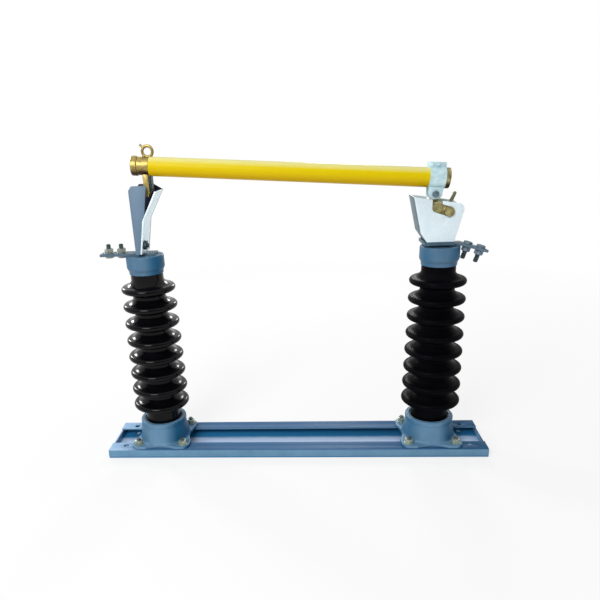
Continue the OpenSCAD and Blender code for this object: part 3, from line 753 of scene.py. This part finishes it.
def build_bolt(graph, given):
    """A washer, a nut, a threaded end and a head, set at each point."""
    flats, washer, stud = given["Across Flats"], given["Washer Diameter"] / 2, given["Thread"] / 2
    thick, base, pitch = given["Washer Height"], given["Head Base"], given["Thread Pitch"]
    nut = hexagon_nodes(graph, flats, thick, given["Nut Height"])
    head = hexagon_nodes(graph, flats, base, given["Head Height"])
    soft = thick * 0.2
    plate = lathe_nodes(graph, stations(graph, [0.0, soft, thick - soft, thick]),
                        stations(graph, [washer - soft, washer, washer, washer - soft]),
                        4, WASHER_STEPS)
    index = graph.add("GeometryNodeInputIndex")
    reach = given["Stud Top"] - base
    count = (reach / pitch * 2.0).floor() + 1.0
    ridge = (index % 2.0) * pitch * 0.5
    end = (index > count - 2.5) * pitch * 0.6
    shank = lathe_nodes(graph, base + reach * index / (count - 1.0),
                        stud - ridge - end, count, THREAD_STEPS)
    bolt = joined(graph, closing(graph, joined(graph, nut, head, plate), given["Material"]),
                  closing(graph, shank, given["Thread Material"]))
    bolts = graph.add("GeometryNodeInstanceOnPoints", None, {
        "Points": given["Geometry"], "Instance": bolt, "Rotation": given["Lean"]})
    return graph.add("GeometryNodeRealizeInstances", None, {"Geometry": bolts})


BOLT_INPUTS = dict.fromkeys((
    "Across Flats", "Nut Height", "Head Height", "Head Base", "Washer Diameter",
    "Washer Height", "Thread", "Stud Top", "Thread Pitch"), "Float")
BOLT_INPUTS.update({"Lean": "Rotation", "Material": "Material", "Thread Material": "Material"})


def islands(bm):
    """The separate shells of a bmesh, each as a set of vertices, in the order of the mesh."""
    left, shells = set(bm.verts), []
    for start in bm.verts:
        if start not in left:
            continue
        left.remove(start)
        shell, edge = set(), [start]
        while edge:
            vertex = edge.pop()
            shell.add(vertex)
            near = {link.other_vert(vertex) for link in vertex.link_edges} & left
            left -= near
            edge.extend(near)
        shells.append(shell)
    return shells


def bolt_boxes(node, lean):
    """The low and high corner of each bolt of a node, in a frame turned as the bolts are."""
    back = lean.to_matrix().transposed()
    bm = bmesh.new()
    bm.from_mesh(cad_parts[node].data)
    bmesh.ops.remove_doubles(bm, verts=bm.verts, dist=MERGE)
    boxes = []
    for shell in islands(bm):
        points = [back @ vertex.co for vertex in shell]
        low, high = (Vector(pick(axis) for axis in zip(*points)) for pick in (min, max))
        for box in boxes:
            if ((low + high - box[0] - box[1]) / 2).xy.length < MM:
                box[0].z, box[1].z = min(low.z, box[0].z), max(high.z, box[1].z)
                break
        else:
            boxes.append([low, high])
    bm.free()
    return boxes


# ---- Sizes and colours ----

def length(name, description, default):
    """A setting for a length in metres."""
    return FloatProperty(name=name, description=description, default=default, min=0.0,
                         unit="LENGTH", precision=4)


def angle(name, description, degrees):
    """A setting for an angle."""
    return FloatProperty(name=name, description=description, default=math.radians(degrees),
                         subtype="ANGLE")


def shade(name, description, code):
    """A setting for a colour."""
    return FloatVectorProperty(name=name, description=description, default=tint(code), size=4,
                               subtype="COLOR", min=0.0, max=1.0)


class FuseColors(bpy.types.PropertyGroup):
    paint: shade("Paint", "Enamel on the base and the feet", 0x6790AF)
    zinc: shade("Zinc", "Galvanised sheet of the hinge", 0xE6F4FA)
    glaze: shade("Glaze", "Glaze on the porcelain", 0x0B0A0E)
    brass: shade("Brass", "Brass of the contacts and the ring", 0xCCB268)
    tube: shade("Tube", "Varnish on the fuse tube", 0xE2CC02)


class PorcelainSizes(bpy.types.PropertyGroup):
    sheds: IntProperty(name="Sheds", description="Number of sheds on a post", default=8, min=2)
    pitch: length("Pitch", "Distance between sheds", 0.0452)
    neck: length("Neck", "Height of the bottom shed above the foot", 0.046)
    rim: length("Rim", "Radius of the rounded rim of a shed", 0.008)
    lowest_d: length("Lowest Shed", "Diameter of the bottom shed", 0.148)
    top_d: length("Top Shed", "Diameter of the top shed", 0.136)
    foot_core_d: length("Foot Core", "Diameter of the core at the foot", 0.094)
    top_core_d: length("Top Core", "Diameter of the core under the cap", 0.081)
    spigot_d: length("Spigot", "Diameter of the end inside the cap", 0.072)
    underside: length("Underside", "Height over which the underside of a shed rises", 0.009)
    topside: length("Topside", "Height over which the top of a shed falls", 0.013)


class FastenerSizes(bpy.types.PropertyGroup):
    thread: length("Thread", "Thread diameter", 0.012)
    flats: length("Across Flats", "Width of nuts and heads across their flats", 0.0186)
    nut: length("Nut", "Height of the nuts and of the foot bolts' heads", 0.0096)
    bar_head: length("Bar Head", "Height of the terminal bolts' heads", 0.006)
    washer_d: length("Washer", "Diameter of the washers", 0.024)
    washer_h: length("Washer Height", "Thickness of the washers", 0.002)
    thread_pitch: length("Thread Pitch", "Pitch of the thread", 0.00175)
    foot_rise: length("Foot Rise", "Height of the foot bolts above the flange", 0.017)
    left_rise: length("Contact Rise", "Height of the contact side bolts above the bar", 0.022)
    right_rise: length("Hinge Rise", "Length of the hinge side bolts under the bar", 0.030)
    droop: angle("Droop", "Angle of the hinge side bar", 17)


class CapSizes(bpy.types.PropertyGroup):
    band_d: length("Band", "Diameter of the narrow lower band", 0.085)
    band_h: length("Band Height", "Height of the narrow lower band", 0.008)
    shoulder: length("Shoulder", "Height of the slope above the band", 0.007)
    socket_d: length("Socket", "Diameter of the socket for the porcelain", 0.078)
    edge: length("Edge", "Rounding of the top edge", 0.004)


class StageSizes(bpy.types.PropertyGroup):
    camera: FloatVectorProperty(name="Camera", description="Place of the camera", size=3,
                                default=(0.04102, -1.37925, 0.79534), subtype="TRANSLATION")
    yaw: angle("Yaw", "Turn of the view to the right", -4.82)
    pitch: angle("Pitch", "Slope of the view down", 21.05)
    roll: angle("Roll", "Roll of the view", -2.71)
    lens: FloatProperty(name="Lens", description="Focal length in millimetres", default=33.92)
    shift: FloatVectorProperty(name="Shift", description="Shift of the frame", size=2,
                               default=(0.0609, 0.0915))
    floor: length("Floor", "Side of the floor", 40.0)
    glow: FloatProperty(name="Glow", description="Share of white in the floor where it is seen",
                        default=0.75, min=0.0, max=1.0)
    sky: FloatProperty(name="Sky", description="Light of the surroundings on the object",
                       default=0.42, min=0.0)
    front: FloatProperty(name="Front", default=0.12, min=0.0,
                         description="Light of the room in front, as a gloss shows it")
    key: FloatProperty(name="Key", description="Power of the main lamp", default=42.0,
                       unit="POWER")


# ---- Operators ----

def ray(graph, kind):
    """One for rays of a kind, and zero for others."""
    return graph.add("ShaderNodeLightPath", output=kind)


def looked_at(graph):
    """One for camera, mirror and glass rays, and zero for those that light a surface."""
    return ray(graph, "Is Camera Ray").most(ray(graph, "Is Glossy Ray")).most(
        ray(graph, "Is Transmission Ray"))


class FUSE_OT_stage(bpy.types.Operator):
    """Adds the floor, the surroundings, the lamps and the camera"""
    bl_idname = "fuse.stage"
    bl_label = "Stage"

    def execute(self, context):
        sizes = context.scene.fuse_stage
        context.scene.view_settings.view_transform = "Standard"
        self.add_floor(sizes.floor, sizes.glow)
        self.light_world(context.scene, sizes.sky, sizes.front)
        target = (CAD_BOX[0] + CAD_BOX[1]) / 2
        for name, place, share, side in LAMPS:
            self.add_lamp(name, place, target, sizes.key * share, side)
        self.add_camera(context.scene, sizes)
        return {"FINISHED"}

    @staticmethod
    def add_floor(side, glow):
        """A pale floor: shadows near the object, white further out, and dark under the base."""
        mesh = bpy.data.meshes.new("floor")
        half = side / 2
        mesh.from_pydata([(-half, -half, 0), (half, -half, 0), (half, half, 0), (-half, half, 0)],
                         [], [(0, 1, 2, 3)])
        ground = Finish("pale_floor")
        across, along = ground.axis("X"), ground.axis("Y")
        distance = (across * across + along * along).root()
        far = ((distance - WHITE_FROM) / WHITE_OVER).clip()
        base = Span("base_channel").high
        covered = (across.absolute() < base.x - BASE_MARGIN) * (
            along.absolute() < base.y - BASE_MARGIN)
        white = looked_at(ground) * (far * (1.0 - glow) + glow) * (1.0 - covered)
        ground.done(Base_Color=(0.97, 0.97, 0.97, 1.0), Roughness=0.9, Specular_IOR_Level=0.1)
        shine = ground.add("ShaderNodeEmission", None, {"Color": (1.0, 1.0, 1.0, 1.0)})
        cover = ground.add("ShaderNodeMixShader", None, {
            0: white, 1: Socket(ground, ground.shader.outputs["BSDF"]), 2: shine})
        ground.feed(ground.tree.nodes["Material Output"].inputs["Surface"], cover)
        mesh.materials.append(ground.material)
        floor = placed("floor", mesh)

    @staticmethod
    def light_world(scene, level, front):
        """White where it is looked at. A gloss shows it white behind and overhead, dim in front."""
        world = bpy.data.worlds.new("studio")
        scene.world = world
        world.use_nodes = True
        graph = Graph(world.node_tree)
        background = graph.tree.nodes["Background"]
        background.inputs["Color"].default_value = (1.0, 1.0, 1.0, 1.0)
        heading = graph.add("ShaderNodeTexCoord", output="Generated")
        back, up = (graph.add("ShaderNodeSeparateXYZ", None, {"Vector": heading}, axis)
                    for axis in "YZ")
        overhead, lead, softness = 0.8, 0.6, 0.8
        mirrored = ((back + up * overhead + lead) / softness).clip() * (1.0 - front) + front
        glossy = ray(graph, "Is Glossy Ray")
        seen = ray(graph, "Is Camera Ray").most(ray(graph, "Is Transmission Ray"))
        strength = seen.most(glossy * mirrored).most((1.0 - glossy) * level)
        graph.feed(background.inputs["Strength"], strength)

    @staticmethod
    def add_lamp(name, place, target, power, side):
        lamp = bpy.data.lights.new(name, "AREA")
        lamp.energy = power
        lamp.shape = "SQUARE"
        lamp.size = side
        light = placed(name, lamp)
        light.location = place
        light.rotation_euler = (target - Vector(place)).to_track_quat("-Z", "Y").to_euler()

    @staticmethod
    def add_camera(scene, sizes):
        lens = bpy.data.cameras.new("camera")
        lens.lens = sizes.lens
        lens.shift_x, lens.shift_y = sizes.shift
        lens.clip_end = 100.0
        camera = placed("camera", lens)
        turn = (Matrix.Rotation(-sizes.yaw, 3, "Z")
                @ Matrix.Rotation(math.pi / 2 - sizes.pitch, 3, "X")
                @ Matrix.Rotation(sizes.roll, 3, "Z"))
        camera.matrix_world = Matrix.Translation(sizes.camera) @ turn.to_4x4()
        scene.camera = camera


class FUSE_OT_base(bpy.types.Operator):
    """Finishes the base channel and its end plates"""
    bl_idname = "fuse.base"
    bl_label = "Base"

    def execute(self, context):
        finish_nodes(STAND, *((node, finishes().base, "painted_steel", 0.7) for node in (
            "base_channel", "end_plate_left", "end_plate_right")))
        return {"FINISHED"}


class FUSE_OT_castings(bpy.types.Operator):
    """Casts the feet and the caps of the posts"""
    bl_idname = "fuse.castings"
    bl_label = "Castings"

    def execute(self, context):
        sizes = context.scene.fuse_caps
        for side in ("left", "right"):
            cast_node("foot_" + side, finishes().cup, STAND, "painted_steel", 1.3 * MM, 4)
            self.add_cap("cap_" + side, sizes, Span("cement_" + side).high.z)
        return {"FINISHED"}

    @staticmethod
    def add_cap(node, sizes, socket_top):
        cap = Span(node)
        radius, band, socket = cap.size.x / 2, sizes.band_d / 2, sizes.socket_d / 2
        band_top = cap.low.z + sizes.band_h
        outline = rounded([
            (0.0, socket_top), (socket, socket_top), (socket, cap.low.z), (band, cap.low.z),
            (band, band_top), (radius, band_top + sizes.shoulder), (radius, cap.high.z),
            (0.0, cap.high.z)], sizes.edge)
        axis = Matrix.Translation((cap.middle.x, cap.middle.y, 0.0))
        turned_piece(node + "_turned", outline, axis, finishes().cap, STAND, "painted_steel",
                     node)


class FUSE_OT_porcelain(bpy.types.Operator):
    """Grows the sheds of both porcelain posts"""
    bl_idname = "fuse.porcelain"
    bl_label = "Porcelain"

    def execute(self, context):
        sizes = context.scene.fuse_porcelain
        tree = geometry_tree("porcelain_post", PORCELAIN_INPUTS, build_porcelain)
        for side in ("left", "right"):
            self.add_post(tree, side, sizes)
            cement_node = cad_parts["cement_" + side]
            cement_node.data.materials.clear()
            cement_node.data.materials.append(finishes().cement)
        return {"FINISHED"}

    @staticmethod
    def add_post(tree, side, sizes):
        post, foot, cap = (Span(kind + side) for kind in ("insulator_", "foot_", "cap_"))
        mesh = grown(tree, "porcelain_" + side, {
            "Sheds": sizes.sheds, "Pitch": sizes.pitch, "First Shed": foot.high.z + sizes.neck,
            "Rim Radius": sizes.rim, "Lowest Shed Radius": sizes.lowest_d / 2,
            "Top Shed Radius": sizes.top_d / 2, "Foot Core Radius": sizes.foot_core_d / 2,
            "Top Core Radius": sizes.top_core_d / 2, "Foot": foot.high.z, "Top": cap.low.z,
            "Underside": sizes.underside, "Topside": sizes.topside, "Low End": post.low.z,
            "High End": post.high.z, "Spigot Radius": sizes.spigot_d / 2,
            "Round Steps": POST_STEPS, "Material": finishes().glaze[side]})
        mesh.transform(Matrix.Translation((post.middle.x, post.middle.y, 0.0)))
        add_piece("porcelain_" + side, mesh, finishes().glaze[side], STAND, "glaze",
                  "insulator_" + side)


class FUSE_OT_bolts(bpy.types.Operator):
    """Sets the bolts of the feet and of the terminals, with washers, nuts and threads"""
    bl_idname = "fuse.bolts"
    bl_label = "Bolts"

    def execute(self, context):
        sizes = context.scene.fuse_fasteners
        tree = geometry_tree("bolt_set", BOLT_INPUTS, build_bolt)
        upright, flipped = Euler((0.0, 0.0, 0.0)), Euler((math.pi, sizes.droop, 0.0))
        look, head = finishes(), sizes.bar_head
        for node in ("foot_bolts_left", "foot_bolts_right"):
            self.add_bolts(tree, node, upright, sizes.foot_rise, sizes.nut, sizes,
                           look.pale_bolt, "zinc_bolts")
        for node, lean, rise, material in (
                ("terminal_bolts_left", upright, sizes.left_rise, look.grey_nut),
                ("terminal_bolts_right", flipped, sizes.right_rise, look.dull_nut)):
            self.add_bolts(tree, node, lean, rise, head, sizes, material, "dark_steel")
        return {"FINISHED"}

    @staticmethod
    def add_bolts(tree, node, lean, rise, head, sizes, material, slot):
        boxes = bolt_boxes(node, lean)
        places = [lean.to_matrix() @ Vector((*((low + high) / 2).xy, high.z - rise))
                  for low, high in boxes]
        below = rise - (boxes[0][1].z - boxes[0][0].z)
        mesh = grown(tree, node + "_set", {
            "Across Flats": sizes.flats, "Nut Height": sizes.nut, "Head Height": head,
            "Head Base": below, "Washer Diameter": sizes.washer_d,
            "Washer Height": sizes.washer_h, "Thread": sizes.thread, "Stud Top": rise,
            "Thread Pitch": sizes.thread_pitch, "Lean": lean, "Material": material,
            "Thread Material": finishes().thread}, places)
        add_piece(node + "_set", mesh, None, STAND, slot, node, smooth_below=32.0)


class FUSE_OT_terminals(bpy.types.Operator):
    """Finishes the terminal bars"""
    bl_idname = "fuse.terminals"
    bl_label = "Terminals"

    def execute(self, context):
        finish_nodes(STAND, *((node, finishes().bar, "painted_steel", 0.8) for node in (
            "terminal_left", "terminal_right")))
        return {"FINISHED"}


class FUSE_OT_contact(bpy.types.Operator):
    """Finishes the contact bracket, its web, its spring and its fasteners"""
    bl_idname = "fuse.contact"
    bl_label = "Contact"

    def execute(self, context):
        look = finishes()
        finish_nodes(
            STAND,
            ("contact_bracket", look.jaw, "painted_steel", 0.5),
            ("contact_web", look.web, "galvanised", 0.5),
            ("contact_spring", look.brass, "brass", 0.4),
            ("contact_bolt", look.dark_bolt, "dark_steel", 0.6),
            ("contact_screws", look.pale_bolt, "zinc_bolts", 0.5))
        return {"FINISHED"}


class FUSE_OT_hinge(bpy.types.Operator):
    """Finishes the hinge bracket and the link that turns in it"""
    bl_idname = "fuse.hinge"
    bl_label = "Hinge"

    def execute(self, context):
        look = finishes()
        finish_nodes(
            STAND,
            ("hinge_base", look.dark_paint, "painted_steel", 0.8),
            ("hinge_bracket", look.sheet, "galvanised", 0.6),
            ("hinge_screws", look.pale_bolt, "zinc_bolts", 0.5))
        cast_node("trunnion_link", look.tarnished, LINK, "brass", 0.6 * MM, 3)
        finish_nodes(LINK, ("link_horn", look.horn, "dark_steel", 0.6))
        return {"FINISHED"}


class FUSE_OT_tube(bpy.types.Operator):
    """Finishes the fuse tube and all that swings with it"""
    bl_idname = "fuse.tube"
    bl_label = "Fuse Tube"

    def execute(self, context):
        axis, look = TubeAxis(), finishes()
        self.add_tube(axis)
        self.add_ferrules(axis)
        cast_node("pull_ring", look.brass, TUBE, "brass", 0.5 * MM, 3)
        finish_nodes(
            TUBE,
            ("contact_tongue", look.brass, "brass", 0.8),
            ("tongue_stay", look.dark_bolt, "dark_steel", 0.6),
            ("tube_collar", look.collar, "galvanised", 0.6),
            ("collar_bolt", look.collar, "dark_steel", 0.4),
            ("toggle_bolt", look.dull_nut, "dark_steel", 0.6))
        return {"FINISHED"}

    @staticmethod
    def add_tube(axis):
        turned_piece("varnished_tube", sleeve(*axis.ring("fuse_tube"), 0.6 * MM), axis.matrix,
                     finishes().tube, TUBE, "yellow_tube", "fuse_tube")

    @staticmethod
    def add_ferrules(axis):
        look = finishes()
        for node, metal in (("top_ferrule", look.brass), ("lower_ferrule", look.tarnished)):
            turned_piece(node + "_turned", sleeve(*axis.ring(node), 1.2 * MM), axis.matrix,
                         metal, TUBE, "brass", node)
        low, high, _, outer = axis.ring("end_cap")
        outline = rounded([(0.0, low), (outer, low), (outer, high), (0.0, high)], 2.0 * MM)
        turned_piece("end_cap_turned", outline, axis.matrix, look.brass, TUBE, "brass",
                     "end_cap")


class FUSE_PT_panel(bpy.types.Panel):
    """Buttons that finish the fuse, with its sizes and colours"""
    bl_idname = "FUSE_PT_panel"
    bl_label = "Drop-out Fuse"
    bl_space_type = "VIEW_3D"
    bl_region_type = "UI"
    bl_category = "Fuse"

    def draw(self, context):
        for group in SETTINGS:
            box = self.layout.box()
            settings = getattr(context.scene, group)
            for name in settings.__annotations__:
                box.prop(settings, name)
        for step in STEPS:
            self.layout.operator(step.bl_idname)


STEPS = (FUSE_OT_stage, FUSE_OT_base, FUSE_OT_castings, FUSE_OT_porcelain, FUSE_OT_bolts,
         FUSE_OT_terminals, FUSE_OT_contact, FUSE_OT_hinge, FUSE_OT_tube)
SETTINGS = {"fuse_colors": FuseColors, "fuse_porcelain": PorcelainSizes,
            "fuse_fasteners": FastenerSizes, "fuse_caps": CapSizes, "fuse_stage": StageSizes}


def register():
    for group, kind in SETTINGS.items():
        bpy.utils.register_class(kind)
        setattr(bpy.types.Scene, group, PointerProperty(type=kind))
    for kind in (*STEPS, FUSE_PT_panel):
        bpy.utils.register_class(kind)


def unregister():
    for kind in (FUSE_PT_panel, *reversed(STEPS)):
        bpy.utils.unregister_class(kind)
    for group, kind in SETTINGS.items():
        delattr(bpy.types.Scene, group)
        bpy.utils.unregister_class(kind)


def main():
    register()
    bpy.ops.fuse.stage()
    bpy.ops.fuse.base()
    bpy.ops.fuse.castings()
    bpy.ops.fuse.porcelain()
    bpy.ops.fuse.bolts()
    bpy.ops.fuse.terminals()
    bpy.ops.fuse.contact()
    bpy.ops.fuse.hinge()
    bpy.ops.fuse.tube()


if __name__ == "__main__":
    main()
